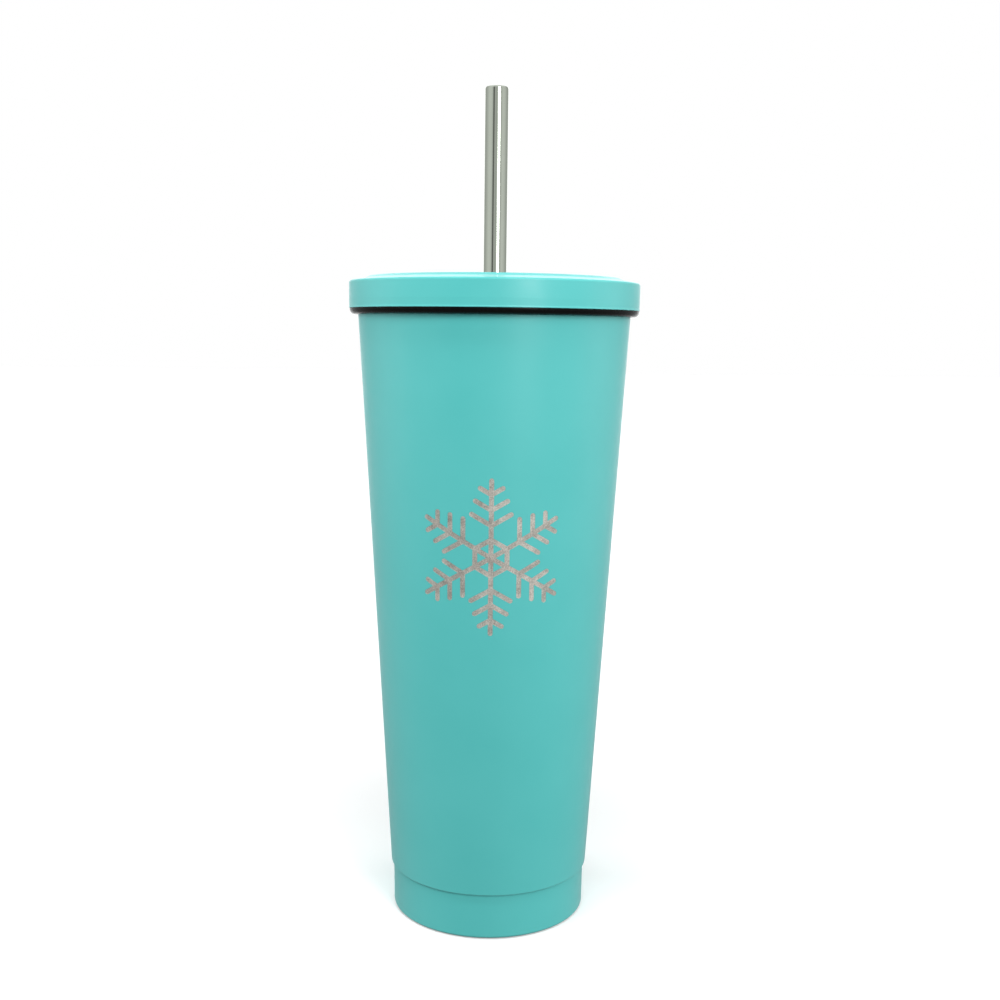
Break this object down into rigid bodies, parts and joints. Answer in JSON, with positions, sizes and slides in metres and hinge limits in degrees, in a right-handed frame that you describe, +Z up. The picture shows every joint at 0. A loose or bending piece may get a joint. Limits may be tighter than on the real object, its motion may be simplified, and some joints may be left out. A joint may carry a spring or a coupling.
{
  "type": "insulated straw tumbler",
  "caption": "Tall tapered double-wall steel cup with a press-in lid and a straight steel drinking straw that slides through a grommet in the lid.",
  "frame": {"origin": "centre of the foot, on the surface that the tumbler stands on", "axes": "+Z up along the cup's axis, towards the lid and the straw; -Y is the front, where the etched mark is"},
  "size_m": [0.1, 0.1, 0.2878],
  "materials": {
    "paint": "satin powder coat",
    "bare_steel": "fine satin",
    "straw_steel": "polished",
    "black_plastic": "semi-gloss",
    "silicone": "matte",
    "copper": "bright foil",
    "getter": "sintered matte",
    "solder_glass": "fired glass"
  },
  "bodies": {
    "vessel": {"outer_shell": "paint", "base_cup": "paint", "vacuum_seal": "solder_glass", "base_plate": "bare_steel", "liner_wall": "bare_steel", "liner_bottom": "bare_steel", "copper_foil": "copper", "getter_pill": "getter", "getter_holder": "bare_steel"},
    "lid": {"lid_body": "black_plastic", "lid_cover": "paint", "lid_gasket": "silicone", "straw_grommet": "silicone"},
    "straw": {"straw": "straw_steel", "straw_stop_ring": "silicone"}
  },
  "joints": [
    {"name": "lid_lift", "type": "slide", "parent": "vessel", "child": "lid", "axis": [0, 0, 1], "range_m": [0, 0.21]},
    {"name": "straw_slide", "type": "slide", "parent": "lid", "child": "straw", "axis": [0, 0, 1], "range_m": [-0.0068, 0.0148]}
  ]
}
